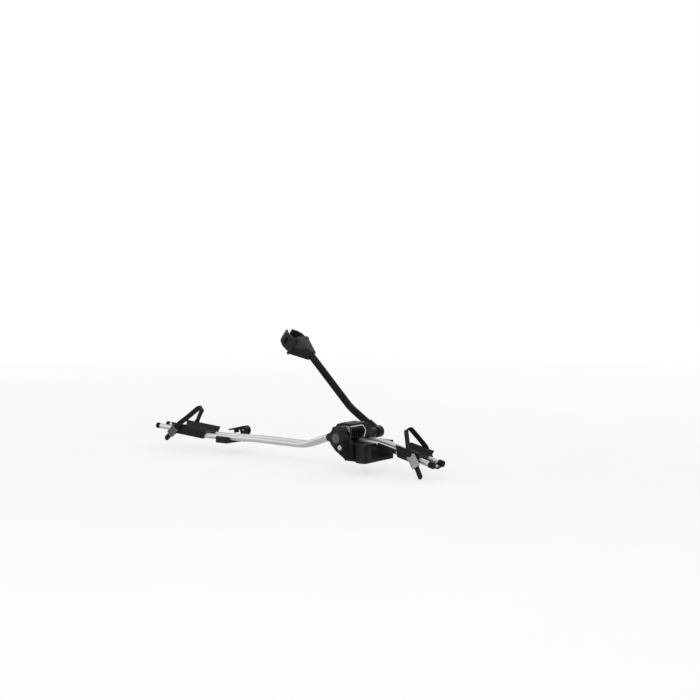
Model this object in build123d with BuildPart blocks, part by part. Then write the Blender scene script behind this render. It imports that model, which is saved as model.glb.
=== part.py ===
from build123d import *
from math import cos, radians, sin
import os

# Roof mounted bike carrier, in millimetres.
# +X runs along the rail towards the front wheel, +Y is the far side and +Z is up.
# The origin is on the front roof bar's top, under the middle of the base.

os.makedirs("parts", exist_ok=True)

# Shared fits
slip = 0.3
snug = 0.15
running = 0.08
overrun = 60

# Roof bars that the carrier is clamped to
bar_spacing = 745
pad_thickness = 2.5
t_bolt_radius = 4
t_head_length = 24
t_head_width = 18
t_head_height = 5
t_slot_depth = 4

# Rail: its centre line, seen from the side, and its section
rear_overhang = 388
dip_overhang = 90
rear_end = (-bar_spacing - rear_overhang, 38)
dip = (-bar_spacing - dip_overhang, 19)
level = (-560, 27)
ramp_foot = (-325, 27)
crest_rear = (-185, 77)
crest_front = (45, 64)
front_end = (300, 10)
rail_points = [rear_end, dip, level, ramp_foot, crest_rear, crest_front, front_end]
rail_bends = [250, 900, 200, 160, 250]
tube_radius = 10.5
tube_offset = 29
tube_wall = 1.8
web_thickness = 2.4
web_edge_drop = 2
web_flat = 6
web_drop = 13

# End caps
cap_thickness = 7
cap_plug_length = 14
cap_lip = 1.2

# Base: plate, foot and the bridge over the rail
plate_thickness = 3
base_rear_x = -88
bridge_front_x = -38
base_front_x = 52
base_near_y = -89
base_far_y = 72
foot_top_z = 78
foot_flare = 20
foot_step_x = 5
foot_round = 6
foot_rib_width = 3
foot_rib_pitch = 9
foot_rib_depth = 2.5
foot_rib_top_z = 48
foot_rib_bottom_z = 14
bridge_far_y = 56
bridge_top_z = 140
bridge_round = 45
bridge_near_round = 10
bridge_edge_round = 3
recess_depth = 8
recess_top_z = 117
recess_bottom_z = 86
recess_near_y = -56
recess_far_y = 16
recess_rib_width = 3
recess_rib_pitch = 14
hoop_width = 6
hoop_thickness = 5
hoop_seat = 4
hoop_top_z = 125
hoop_far_y = 31
hoop_foot_y = 19
hoop_start_y = -88
hoop_bend = 12

# Arm pivot, knob and cross shaft share one axis across the rail
axis_x = -62
axis_z = 90
shaft_radius = 4
bush_radius = 6.5
bush_length = 12
axle_radius = 12
axle_start_y = 44
ring_radius = 14
ring_thickness = 1.5

# Knob housing and knob
housing_thickness = 27
housing_top_z = 131
housing_round = 13
housing_edge_round = 4
collar_radius = 30
housing_step = 2
housing_waist_z = 52
knob_depth = 26
knob_core_radius = 37
knob_lobe_radius = 17
knob_lobe_offset = 35
knob_blend = 14
knob_edge_round = 5
knob_taper = 4
knob_bore_depth = 16
grip_groove_radius = 1.4
grip_groove_count = 5
grip_groove_step = 22
insert_radius = 18
insert_thickness = 3
lock_angle = -60
lock_offset = 39
lock_radius = 9
lock_length = 16
lock_proud = 1.5
core_radius = 6
core_length = 14
key_slot_width = 1.8
key_slot_length = 7
key_slot_depth = 6

# Arm
arm_y = 107
leg_corner = (-196, 107, 172)
arm_top = (-334, 35, 371)
arm_width = 30
arm_depth = 20
arm_wall = 2
arm_bend = 90
arm_start = 27
arm_insert = 22
hub_radius = 19
case_radius = 23
case_near_y = 92
case_far_y = 122
case_cavity_radius = 15
case_wall = 2.5
cover_thickness = 3
cover_radius = 19
socket_width = 38
socket_depth = 28
socket_length = 50
rod_radius = 3.5
rod_room = 7
gear_radius = 9
gear_face = 4.5
gear_gap = 0.25
spider_radius = 6
rod_end_gap = 7
spindle_radius = 4
spindle_overhang = 31
nut_radius = 8.5
nut_length = 9
nut_offset = 14

# Claw
claw_centre = (-378, 0, 414.5)
claw_slope = (0.62, 0, 0.785)
claw_height = 62
claw_top_width = 72
claw_top_length = 86
claw_foot_width = 30
claw_foot_length = 40
claw_foot_y = 35
claw_foot_shift = 7
claw_top_round = 9
claw_foot_round = 8
pocket_depth = 38
pocket_roof = 5
jaw_pivot_inset = 3
jaw_pivot_y = claw_top_width / 2 - jaw_pivot_inset
jaw_pivot_drop = 7
jaw_knuckle = 7
jaw_pin_radius = 3
jaw_pin_length = 82
jaw_width = 58
jaw_tip_width = 40
jaw_thickness = 9
jaw_waist = (36, 28)
jaw_shoulder = (31, 51)
jaw_tip = (17, 64)
jaw_bend = 16
jaw_room = 1.5
jaw_window_width = 14
jaw_window_height = 18
jaw_pad_thickness = 4
jaw_pad_bottom = 10
cradle_width = 42
cradle_length = 70
cradle_thickness = 8
cradle_hollow_radius = 32

# Wheel holders
holder_wall = 4
holder_lip = 3
holder_wall_top = 30
holder_flare = 3
holder_floor = 3
holder_floor_edge = 13
holder_floor_dip = 3
front_holder_x = 192
front_holder_length = 112
rear_holder_overhang = 198
rear_holder_x = -bar_spacing - rear_holder_overhang
rear_holder_length = 196
holder_end_slope = 14
holder_boss_height = 30
holder_boss_width = 26

# Straps and buckles
strap_width = 22
strap_thickness = 2.5
strap_y = 54.5
strap_foot = -12
strap_hip = 44
strap_knee_y = 34
strap_knee = 84
strap_crown_y = 14
strap_tail_y = 60
strap_bend = 14
front_strap_inset = 16
front_strap_x = front_holder_x + front_holder_length / 2 - front_strap_inset
front_strap_lean = (-0.527, 0, 0.85)
front_strap_crown = 124
front_strap_tail = -74
rear_strap_inset = 25
rear_strap_x = rear_holder_x - rear_holder_length / 2 + rear_strap_inset
rear_strap_lean = (0.735, 0, 0.678)
rear_strap_crown = 142
rear_strap_tail = -62
buckle_plate = 3
buckle_gap = 0.25
buckle_cheek = 3
buckle_top = 22
buckle_bottom = -28
buckle_depth = 15
lever_pin_radius = 2.5
lever_pin_up = 13
lever_pin_out = 5.5
lever_knuckle = 4
lever_thickness = 5
lever_length = 40
lever_kick = 4
anchor_pin_radius = 2.5
anchor_pin_length = 6
anchor_head_radius = 5
anchor_head = 2

# Rear bracket and its clamp lever
saddle_length = 60
saddle_near_y = -52
saddle_cheek_top = 26
saddle_far_y = 112
saddle_arm_z = 14
saddle_round = 5
lever_axis_y = 92
lever_axis_z = 40
lever_head_radius = 17
lever_head_width = 26
lever_slot_width = 12
lever_reach = 84
lever_droop = 20
lever_blade = 5
lever_hook = 13
lever_hook_x = 50.4
washer_height = 4
clevis_pin_radius = 4

# Worked out from the values above
plate_z = pad_thickness
foot_z = pad_thickness + plate_thickness
bar_rear_x = -bar_spacing


def across_plane(x):
    """A plane across the rail: local x is +Y, local y is up and it faces +X."""
    return Plane(origin=(x, 0, 0), x_dir=(0, 1, 0), z_dir=(1, 0, 0))


def rail_plane(start, end, x):
    """The plane square to one straight run of the rail, on the rail's centre line."""
    share = (x - start[0]) / (end[0] - start[0])
    height = start[1] + share * (end[1] - start[1])
    run = Vector(end[0] - start[0], 0, end[1] - start[1]).normalized()
    return Plane(origin=(x, 0, height), x_dir=(0, 1, 0), z_dir=run)


def rail_route():
    """The rail's centre line as straight runs joined by tangent arcs."""
    with BuildLine(Plane.XZ) as route:
        FilletPolyline(*rail_points, radius=rail_bends)
    return route.line


def rail_section(plane, grow):
    """The rail's solid outline, grown by a clearance: two tubes and the V web."""
    with BuildSketch(plane) as section:
        with BuildLine():
            Polyline((-tube_offset, -web_edge_drop), (-web_flat, -web_drop),
                     (web_flat, -web_drop), (tube_offset, -web_edge_drop))
        trace(line_width=web_thickness + 2 * grow)
        with Locations((-tube_offset, 0), (tube_offset, 0)):
            Circle(tube_radius + grow)
    return section.sketch


rail_start = rail_plane(rear_end, dip, rear_end[0])

with BuildPart() as rail:
    with BuildSketch(rail_start):
        add(rail_section(Plane.XY, 0))
        with Locations((-tube_offset, 0), (tube_offset, 0)):
            Circle(tube_radius - tube_wall, mode=Mode.SUBTRACT)
    sweep(path=rail_route())

# The room that the rail needs in whatever it passes through, closed over its trough
rail_room_half = tube_radius + slip
with BuildPart() as rail_room:
    with BuildSketch(rail_start):
        with Locations((-tube_offset, 0), (tube_offset, 0)):
            Circle(rail_room_half)
        with BuildLine():
            Polyline((-tube_offset, rail_room_half), (tube_offset, rail_room_half),
                     (tube_offset, -rail_room_half),
                     (web_flat, -web_drop - web_thickness / 2 - slip),
                     (-web_flat, -web_drop - web_thickness / 2 - slip),
                     (-tube_offset, -rail_room_half), close=True)
        make_face()
    sweep(path=rail_route())


def end_cap(start, end, at, outward):
    """A two-lobed cap with plugs that push into the rail's tubes."""
    plane = rail_plane(start, end, at)
    with BuildPart() as cap:
        with BuildSketch(plane):
            add(rail_section(Plane.XY, cap_lip))
        extrude(amount=outward * cap_thickness)
        fillet(cap.faces().sort_by(Axis.X)[-1 if outward > 0 else 0].edges(), cap_lip)
        with BuildSketch(plane):
            with Locations((-tube_offset, 0), (tube_offset, 0)):
                Circle(tube_radius - tube_wall - slip)
        extrude(amount=-outward * cap_plug_length)
    return cap.part


front_end_cap = end_cap(crest_front, front_end, front_end[0], 1)
rear_end_cap = end_cap(rear_end, dip, rear_end[0], -1)

# Base
bolt_near_y = (base_near_y - tube_offset - tube_radius) / 2 - 2 * slip
bolt_far_y = (base_far_y + tube_offset + tube_radius) / 2
bolt_places = [(0, bolt_near_y), (0, bolt_far_y)]
nut_width = 13
nut_height = 7
nut_flange = 2.3
bolt_pocket_radius = nut_width / 2 + nut_flange + slip * 4
bolt_top_z = foot_z + plate_thickness + nut_height + t_bolt_radius
bolt_land_z = foot_z + plate_thickness


def base_outline():
    """The base's plan: a step on the near side makes room for the knob housing."""
    with BuildSketch() as outline:
        with BuildLine():
            Polyline((base_rear_x, base_near_y), (foot_step_x, base_near_y),
                     (foot_step_x, base_near_y - foot_flare), (base_front_x, base_near_y - foot_flare),
                     (base_front_x - foot_flare / 2, base_far_y), (base_rear_x, base_far_y), close=True)
        make_face()
        fillet(outline.vertices().group_by(Axis.X)[-1], foot_round)
    return outline.sketch


with BuildPart() as base_pad:
    with BuildSketch():
        add(base_outline())
        with Locations(*bolt_places):
            Circle(t_bolt_radius + slip, mode=Mode.SUBTRACT)
    extrude(amount=pad_thickness)

with BuildPart() as base_plate:
    with BuildSketch(Plane.XY.offset(plate_z)):
        add(base_outline())
        with Locations(*bolt_places):
            Circle(t_bolt_radius + slip, mode=Mode.SUBTRACT)
    extrude(amount=plate_thickness)

rib_count = int((base_far_y - base_near_y) / foot_rib_pitch) - 1
with BuildPart() as base_foot:
    with BuildSketch(Plane.XY.offset(foot_z)):
        add(base_outline())
    extrude(amount=foot_top_z - foot_z)
    with BuildSketch(Plane.XZ.offset(-base_far_y - overrun)):
        with Locations((bridge_front_x + slip, 0)):
            Rectangle(overrun * 2, overrun * 4, align=(Align.MAX, Align.CENTER))
    extrude(amount=overrun * 6, mode=Mode.SUBTRACT)
    top_edges = base_foot.faces().sort_by(Axis.Z)[-1].edges()
    fillet(top_edges.filter_by(Axis.X), foot_round)
    with BuildSketch(across_plane(base_front_x)):
        with Locations((0, (foot_rib_top_z + foot_rib_bottom_z) / 2)):
            with GridLocations(foot_rib_pitch, foot_rib_pitch, rib_count, 1):
                Rectangle(foot_rib_pitch - foot_rib_width, foot_rib_top_z - foot_rib_bottom_z)
    extrude(amount=-foot_flare / 2 - foot_rib_depth, mode=Mode.SUBTRACT)
    add(rail_room.part, mode=Mode.SUBTRACT)
    with BuildSketch(across_plane(bridge_front_x)):
        with Locations((0, foot_top_z)):
            Rectangle(2 * (tube_offset + tube_radius + slip + snug), tube_radius * 2 + slip)
    extrude(amount=overrun * 2, mode=Mode.SUBTRACT)
    with BuildSketch(Plane.XY.offset(foot_z)):
        with Locations(*bolt_places):
            Circle(t_bolt_radius + slip)
    extrude(amount=plate_thickness, mode=Mode.SUBTRACT)
    with BuildSketch(Plane.XY.offset(bolt_land_z)):
        with Locations(*bolt_places):
            Circle(bolt_pocket_radius)
    extrude(amount=foot_top_z, mode=Mode.SUBTRACT)

with BuildPart() as base_t_bolts:
    with BuildSketch(Plane.XY.offset(-t_slot_depth - t_head_height)):
        with Locations(*bolt_places):
            Rectangle(t_head_width, t_head_length)
    extrude(amount=t_head_height)
    with BuildSketch(Plane.XY.offset(-t_slot_depth)):
        with Locations(*bolt_places):
            Circle(t_bolt_radius)
    extrude(amount=t_slot_depth + bolt_top_z)


def flange_nuts(places, seat_z):
    """Hexagon nuts with a washer face, on bolts."""
    with BuildPart() as nuts:
        with BuildSketch(Plane.XY.offset(seat_z)):
            with Locations(*places):
                Circle(nut_width / 2 + nut_flange)
        extrude(amount=nut_height / 4)
        with BuildSketch(Plane.XY.offset(seat_z + nut_height / 4)):
            with Locations(*places):
                RegularPolygon(nut_width / 2, 6, major_radius=False)
        extrude(amount=nut_height * 3 / 4)
        with BuildSketch(Plane.XY.offset(seat_z)):
            with Locations(*places):
                Circle(t_bolt_radius + snug)
        extrude(amount=nut_height, mode=Mode.SUBTRACT)
    return nuts.part


base_nuts = flange_nuts(bolt_places, bolt_land_z)

# Bridge housing: the black arch that holds the rail down and carries the pivot
hoop_line = [(hoop_start_y, hoop_top_z), (hoop_foot_y - hoop_width, hoop_top_z),
             (hoop_far_y, (hoop_top_z + recess_bottom_z) / 2), (hoop_foot_y, recess_bottom_z - hoop_width / 2)]


def hoop_shape(width, depth, plane):
    """The hoop's band, also used for the groove that it lies in."""
    with BuildPart() as band:
        with BuildSketch(plane):
            with BuildLine():
                FilletPolyline(*hoop_line, radius=hoop_bend)
            trace(line_width=width)
        extrude(amount=depth)
    return band.part


near_leg_y = base_near_y - slip
with BuildPart() as bridge_housing:
    with BuildSketch(across_plane(base_rear_x)) as arch:
        with BuildLine():
            Polyline((base_near_y, foot_z), (base_near_y, bridge_top_z), (bridge_far_y, bridge_top_z),
                     (bridge_far_y, foot_z), close=True)
        make_face()
        fillet(arch.vertices().group_by(Axis.Y)[-1].sort_by(Axis.X)[-1], bridge_round)
        fillet(arch.vertices().sort_by(Axis.X)[0:2].sort_by(Axis.Y)[-1], bridge_near_round)
    extrude(amount=bridge_front_x - base_rear_x)
    fillet(bridge_housing.faces().sort_by(Axis.X)[-1].edges().filter_by(GeomType.CIRCLE), bridge_edge_round)
    add(rail_room.part, mode=Mode.SUBTRACT)
    with BuildSketch(across_plane(bridge_front_x)) as recess:
        with BuildLine():
            Polyline((recess_near_y, recess_bottom_z), (recess_near_y, recess_top_z),
                     (recess_far_y, recess_top_z), (recess_far_y + hoop_width, recess_bottom_z + hoop_bend),
                     (recess_far_y - hoop_width, recess_bottom_z), close=True)
        make_face()
        fillet(recess.vertices(), hoop_width / 2)
    extrude(amount=-recess_depth, mode=Mode.SUBTRACT)
    with BuildSketch(across_plane(bridge_front_x - recess_depth)):
        with Locations(((recess_near_y + recess_far_y) / 2, (recess_top_z + recess_bottom_z) / 2)):
            with GridLocations(recess_rib_pitch, recess_rib_pitch, 4, 1):
                Rectangle(recess_rib_width, recess_top_z - recess_bottom_z - hoop_width)
    extrude(amount=recess_depth / 2)
    add(hoop_shape(hoop_width + 2 * snug, -hoop_seat, across_plane(bridge_front_x)), mode=Mode.SUBTRACT)
    with BuildSketch(Plane.XZ.offset(-bridge_far_y)):
        with Locations((axis_x, axis_z)):
            Circle(axle_radius + snug)
    extrude(amount=bridge_far_y - axle_start_y + slip, mode=Mode.SUBTRACT)
    with BuildSketch(Plane.XZ.offset(-bridge_far_y)):
        with Locations((axis_x, axis_z)):
            Circle(shaft_radius + slip)
    extrude(amount=bridge_far_y - base_near_y, mode=Mode.SUBTRACT)
    with BuildSketch(Plane.XZ.offset(-base_near_y)):
        with Locations((axis_x, axis_z)):
            Circle(bush_radius + snug)
    extrude(amount=-bush_length - slip, mode=Mode.SUBTRACT)

bridge_hoop = hoop_shape(hoop_width, hoop_thickness, across_plane(bridge_front_x - hoop_seat))

# Knob housing on the near side
housing_y = near_leg_y - housing_thickness
housing_corners = [(base_rear_x - housing_round / 2, housing_top_z), (bridge_front_x + housing_step, housing_top_z),
                   (foot_step_x - foot_round, housing_waist_z), (foot_step_x - housing_step, foot_z + housing_step),
                   (bridge_front_x + housing_step, foot_z + housing_step),
                   (base_rear_x - housing_round, axis_z - collar_radius)]
with BuildPart() as knob_housing:
    with BuildSketch(Plane.XZ.offset(-near_leg_y)) as slab:
        with BuildLine():
            Polyline(*housing_corners, close=True)
        make_face()
        fillet(slab.vertices(), housing_round)
    extrude(amount=housing_thickness)
    fillet(knob_housing.faces().sort_by(Axis.Y)[0].edges(), housing_edge_round)
    with BuildSketch(Plane.XZ.offset(-housing_y - slip)):
        with Locations((axis_x, axis_z)):
            Circle(collar_radius)
    extrude(amount=-housing_edge_round + slip)
    with BuildSketch(Plane.XZ.offset(-near_leg_y)):
        with Locations((axis_x, axis_z)):
            Circle(shaft_radius + slip)
    extrude(amount=housing_thickness + slip, mode=Mode.SUBTRACT)

# Knob: three lobes, ribbed grips, a lock in the lower front lobe
knob_y = housing_y - 2 * slip
knob_face_y = knob_y - knob_depth
lock_x = axis_x + lock_offset * cos(radians(lock_angle))
lock_z = axis_z + lock_offset * sin(radians(lock_angle))
lock_top_y = knob_face_y - lock_proud
with BuildPart() as knob:
    with BuildSketch(Plane.XZ.offset(-knob_y)) as outline:
        with Locations((axis_x, axis_z)):
            Circle(knob_core_radius)
            with PolarLocations(knob_lobe_offset, 3, start_angle=60):
                Circle(knob_lobe_radius)
        fillet(outline.vertices(), knob_blend)
    extrude(amount=knob_depth, taper=knob_taper)
    fillet(knob.faces().sort_by(Axis.Y)[0].edges(), knob_edge_round)
    with BuildSketch(Plane.XZ.offset(-knob_y)):
        for lobe in range(3):
            lobe_angle = 60 + lobe * 120
            for step in range(grip_groove_count):
                turn = lobe_angle + (step - (grip_groove_count - 1) / 2) * grip_groove_step
                reach = knob_lobe_radius + grip_groove_radius / 4
                place = (axis_x + knob_lobe_offset * cos(radians(lobe_angle)) + reach * cos(radians(turn)),
                         axis_z + knob_lobe_offset * sin(radians(lobe_angle)) + reach * sin(radians(turn)))
                with Locations(place):
                    Circle(grip_groove_radius)
    extrude(amount=knob_depth, taper=0, mode=Mode.SUBTRACT)
    with BuildSketch(Plane.XZ.offset(-knob_face_y)):
        with Locations((axis_x, axis_z)):
            Circle(insert_radius + snug)
    extrude(amount=-insert_thickness / 2, mode=Mode.SUBTRACT)
    with BuildSketch(Plane.XZ.offset(-knob_face_y)):
        with Locations((lock_x, lock_z)):
            Circle(lock_radius + snug)
    extrude(amount=lock_proud - lock_length - snug, mode=Mode.SUBTRACT)
    with BuildSketch(Plane.XZ.offset(-knob_y)):
        with Locations((axis_x, axis_z)):
            Circle(shaft_radius + snug)
    extrude(amount=knob_bore_depth, mode=Mode.SUBTRACT)

with BuildPart() as knob_insert:
    with BuildSketch(Plane.XZ.offset(-knob_face_y - insert_thickness / 2)):
        with Locations((axis_x, axis_z)):
            Circle(insert_radius)
    extrude(amount=insert_thickness)
    fillet(knob_insert.faces().sort_by(Axis.Y)[0].edges(), insert_thickness / 3)

with BuildPart() as lock_barrel:
    with BuildSketch(Plane.XZ.offset(-lock_top_y)):
        with Locations((lock_x, lock_z)):
            Circle(lock_radius)
    extrude(amount=-lock_length)
    with BuildSketch(Plane.XZ.offset(-lock_top_y)):
        with Locations((lock_x, lock_z)):
            Circle(core_radius + snug)
    extrude(amount=-core_length - snug, mode=Mode.SUBTRACT)

with BuildPart() as lock_core:
    with BuildSketch(Plane.XZ.offset(-lock_top_y)):
        with Locations((lock_x, lock_z)):
            Circle(core_radius)
    extrude(amount=-core_length)
    with BuildSketch(Plane.XZ.offset(-lock_top_y)):
        with Locations((lock_x, lock_z)):
            Rectangle(key_slot_width, key_slot_length)
    extrude(amount=-key_slot_depth, mode=Mode.SUBTRACT)

# Cross shaft, its bushes, and the hollow axle that the arm turns on
gear_back_y = arm_y - gear_radius - gear_gap
with BuildPart() as cross_shaft:
    with BuildSketch(Plane.XZ.offset(-knob_y + knob_bore_depth)):
        with Locations((axis_x, axis_z)):
            Circle(shaft_radius)
    extrude(amount=-(gear_back_y - knob_y + knob_bore_depth))
    with BuildSketch(Plane.XZ.offset(-gear_back_y)):
        with Locations((axis_x, axis_z)):
            Circle(gear_radius)
    with BuildSketch(Plane.XZ.offset(-gear_back_y - gear_face)):
        with Locations((axis_x, axis_z)):
            Circle(gear_radius - gear_face)
    loft()

with BuildPart() as shaft_bush:
    with BuildSketch(Plane.XZ.offset(-base_near_y)):
        with Locations((axis_x, axis_z)):
            Circle(bush_radius)
    extrude(amount=-bush_length)
    with BuildSketch(Plane.XZ.offset(-base_near_y)):
        with Locations((axis_x, axis_z)):
            Circle(shaft_radius + running)
    extrude(amount=-bush_length, mode=Mode.SUBTRACT)

hub_start_y = bridge_far_y + 2 * slip
axle_end_y = case_near_y + case_wall + ring_thickness + 2 * slip
with BuildPart() as pivot_axle:
    with BuildSketch(Plane.XZ.offset(-axle_start_y)):
        with Locations((axis_x, axis_z)):
            Circle(axle_radius)
            Circle(shaft_radius + slip, mode=Mode.SUBTRACT)
    extrude(amount=-(axle_end_y - axle_start_y))

with BuildPart() as axle_ring:
    with BuildSketch(Plane.XZ.offset(-(axle_end_y - ring_thickness))):
        with Locations((axis_x, axis_z)):
            Circle(ring_radius)
            Circle(axle_radius + snug, mode=Mode.SUBTRACT)
    extrude(amount=-ring_thickness)

# Arm: knuckle, bent tube, and the drive inside
pivot = Vector(axis_x, arm_y, axis_z)
corner = Vector(*leg_corner)
top = Vector(*arm_top)
leg_way = (corner - pivot).normalized()
upper_way = (top - corner).normalized()
arm_first = pivot + leg_way * arm_start
arm_last = top + upper_way * arm_insert


def leg_plane(distance):
    """A plane square to the arm's lower leg, at a distance from the pivot."""
    return Plane(origin=pivot + leg_way * distance, x_dir=(0, 1, 0), z_dir=leg_way)


def upper_plane(distance):
    """A plane square to the arm's upper leg, at a distance past its top point."""
    return Plane(origin=top + upper_way * distance, z_dir=upper_way)


def arm_sweep(grow, extra):
    """The arm tube's outer shape along its route, grown by a clearance."""
    with BuildPart() as shape:
        with BuildLine() as route:
            FilletPolyline(arm_first, corner, arm_last + upper_way * extra, radius=arm_bend)
        with BuildSketch(leg_plane(arm_start)):
            SlotOverall(arm_width + 2 * grow, arm_depth + 2 * grow, rotation=90)
        sweep(path=route.line)
    return shape.part


with BuildPart() as arm_tube:
    add(arm_sweep(0, 0))
    add(arm_sweep(-arm_wall, 0), mode=Mode.SUBTRACT)

with BuildPart() as arm_knuckle:
    with BuildSketch(Plane.XZ.offset(-hub_start_y)):
        with Locations((axis_x, axis_z)):
            Circle(hub_radius)
    extrude(amount=-(case_near_y - hub_start_y))
    with BuildSketch(Plane.XZ.offset(-case_near_y)):
        with Locations((axis_x, axis_z)):
            Circle(case_radius)
    extrude(amount=-(case_far_y - case_near_y))
    with BuildSketch(leg_plane(0)):
        SlotOverall(socket_width, socket_depth, rotation=90)
    extrude(amount=socket_length)
    fillet(arm_knuckle.edges().filter_by(GeomType.CIRCLE).sort_by(Axis.Y)[-1], cover_thickness)
    with BuildSketch(Plane.XZ.offset(-hub_start_y)):
        with Locations((axis_x, axis_z)):
            Circle(axle_radius + snug)
    extrude(amount=-(case_near_y + case_wall - hub_start_y), mode=Mode.SUBTRACT)
    with BuildSketch(Plane.XZ.offset(-case_near_y - case_wall)):
        with Locations((axis_x, axis_z)):
            Circle(case_cavity_radius)
    extrude(amount=-(case_far_y - case_near_y - case_wall), mode=Mode.SUBTRACT)
    with BuildSketch(Plane.XZ.offset(-case_far_y)):
        with Locations((axis_x, axis_z)):
            Circle(cover_radius + snug)
    extrude(amount=cover_thickness, mode=Mode.SUBTRACT)
    with BuildSketch(leg_plane(0)):
        Circle(rod_room)
    extrude(amount=socket_length, mode=Mode.SUBTRACT)
    with BuildSketch(leg_plane(arm_start - slip)):
        SlotOverall(arm_width + 2 * snug, arm_depth + 2 * snug, rotation=90)
    extrude(amount=socket_length, mode=Mode.SUBTRACT)

with BuildPart() as knuckle_cover:
    with BuildSketch(Plane.XZ.offset(-case_far_y)):
        with Locations((axis_x, axis_z)):
            Circle(cover_radius)
    extrude(amount=cover_thickness - snug)

leg_length = (corner - pivot).length
upper_length = (top - corner).length
with BuildPart() as drive_rod:
    with BuildSketch(leg_plane(gear_radius + gear_gap)):
        Circle(gear_radius)
    with BuildSketch(leg_plane(gear_radius + gear_gap - gear_face)):
        Circle(gear_radius - gear_face)
    loft()
    with BuildSketch(leg_plane(gear_radius + gear_gap)):
        Circle(rod_radius)
    extrude(amount=leg_length - rod_end_gap - gear_radius - gear_gap)

with BuildPart() as joint_spider:
    with Locations(corner):
        Sphere(spider_radius)

with BuildPart() as spindle:
    with BuildSketch(upper_plane(rod_end_gap - upper_length)):
        Circle(spindle_radius)
    extrude(amount=upper_length - rod_end_gap + arm_insert + spindle_overhang)

with BuildPart() as draw_nut:
    with BuildSketch(upper_plane(arm_insert + nut_offset)):
        Circle(nut_radius)
        Circle(spindle_radius + slip, mode=Mode.SUBTRACT)
    extrude(amount=nut_length)

# Claw: local x is +Y, local y is towards the frame tube, local z is up along it
slope = Vector(*claw_slope).normalized()
claw_plane = Plane(origin=claw_centre, x_dir=(0, 1, 0), z_dir=slope)
rise = claw_plane.y_dir


def claw_level(height):
    """A plane across the claw at a height above its top face."""
    return Plane(origin=claw_plane.origin + rise * height, x_dir=(0, 1, 0), z_dir=rise)


jaw_slot_inner = jaw_pivot_y - jaw_knuckle - jaw_room
jaw_slot_width = claw_top_width / 2 - jaw_slot_inner + overrun
with BuildPart() as claw_body:
    with BuildSketch(claw_level(-claw_height)):
        with Locations((claw_foot_y, claw_foot_shift)):
            RectangleRounded(claw_foot_width, claw_foot_length, claw_foot_round)
    with BuildSketch(claw_level(0)):
        RectangleRounded(claw_top_width, claw_top_length, claw_top_round)
    loft()
    with BuildSketch(claw_level(0)):
        for side in (-1, 1):
            with Locations((side * (jaw_slot_inner + jaw_slot_width / 2), 0)):
                Rectangle(jaw_slot_width, jaw_width + 2 * slip)
    extrude(amount=-jaw_pivot_drop - jaw_knuckle - jaw_room, mode=Mode.SUBTRACT)
    with BuildSketch(claw_plane.offset(-jaw_pin_length / 2 - slip)):
        for side in (-1, 1):
            with Locations((side * jaw_pivot_y, -jaw_pivot_drop)):
                Circle(jaw_pin_radius + snug)
    extrude(amount=jaw_pin_length + 2 * slip, mode=Mode.SUBTRACT)
    add(arm_sweep(snug, slip), mode=Mode.SUBTRACT)
    with BuildSketch(upper_plane(arm_insert + slip)):
        Circle(nut_radius + 2 * slip)
    extrude(amount=pocket_depth - pocket_roof, mode=Mode.SUBTRACT)

with BuildPart() as jaw_pins:
    with BuildSketch(claw_plane.offset(-jaw_pin_length / 2)):
        for side in (-1, 1):
            with Locations((side * jaw_pivot_y, -jaw_pivot_drop)):
                Circle(jaw_pin_radius)
    extrude(amount=jaw_pin_length)

with BuildPart() as cradle_pad:
    with BuildSketch(claw_plane.offset(-cradle_length / 2)):
        with Locations((0, cradle_thickness / 2)):
            Rectangle(cradle_width, cradle_thickness)
        with Locations((0, cradle_hollow_radius + cradle_thickness / 2)):
            Circle(cradle_hollow_radius, mode=Mode.SUBTRACT)
    extrude(amount=cradle_length)


def jaw_route(side, shift):
    """The jaw's centre line from its pin to its tip, moved inwards by a shift."""
    return [(side * (jaw_pivot_y - shift), -jaw_pivot_drop + shift),
            (side * (jaw_waist[0] - shift), jaw_waist[1]),
            (side * (jaw_shoulder[0] - shift), jaw_shoulder[1] - shift / 2),
            (side * (jaw_tip[0] - shift / 2), jaw_tip[1] - shift)]


def jaw(side):
    """A curved finger on a knuckle, with a window through it."""
    with BuildPart() as finger:
        with BuildSketch(claw_plane):
            with BuildLine():
                FilletPolyline(*jaw_route(side, 0), radius=jaw_bend)
            trace(line_width=jaw_thickness)
            with Locations((side * jaw_pivot_y, -jaw_pivot_drop)):
                Circle(jaw_knuckle)
            with Locations((side * jaw_tip[0], jaw_tip[1])):
                Circle(jaw_thickness / 2)
        extrude(amount=jaw_width / 2, both=True)
        side_plane = Plane(origin=claw_plane.origin, x_dir=slope, z_dir=(0, side, 0))
        up = side_plane.y_dir.dot(rise)
        with BuildSketch(side_plane):
            with BuildLine():
                Polyline((-jaw_width / 2, -up * (jaw_pivot_drop + jaw_knuckle)),
                         (jaw_width / 2, -up * (jaw_pivot_drop + jaw_knuckle)),
                         (jaw_width / 2, up * jaw_waist[1]),
                         (jaw_tip_width / 2, up * (jaw_tip[1] + jaw_thickness)),
                         (-jaw_tip_width / 2, up * (jaw_tip[1] + jaw_thickness)),
                         (-jaw_width / 2, up * jaw_waist[1]), close=True)
            make_face()
        extrude(amount=overrun, both=True, mode=Mode.INTERSECT)
        with BuildSketch(side_plane):
            with Locations((0, up * jaw_waist[1])):
                SlotOverall(jaw_window_height + jaw_window_width, jaw_window_width)
        extrude(amount=jaw_waist[0] + jaw_thickness, mode=Mode.SUBTRACT)
        with BuildSketch(claw_plane):
            with Locations((side * jaw_pivot_y, -jaw_pivot_drop)):
                Circle(jaw_pin_radius + running)
        extrude(amount=jaw_width, both=True, mode=Mode.SUBTRACT)
    return finger.part


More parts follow.
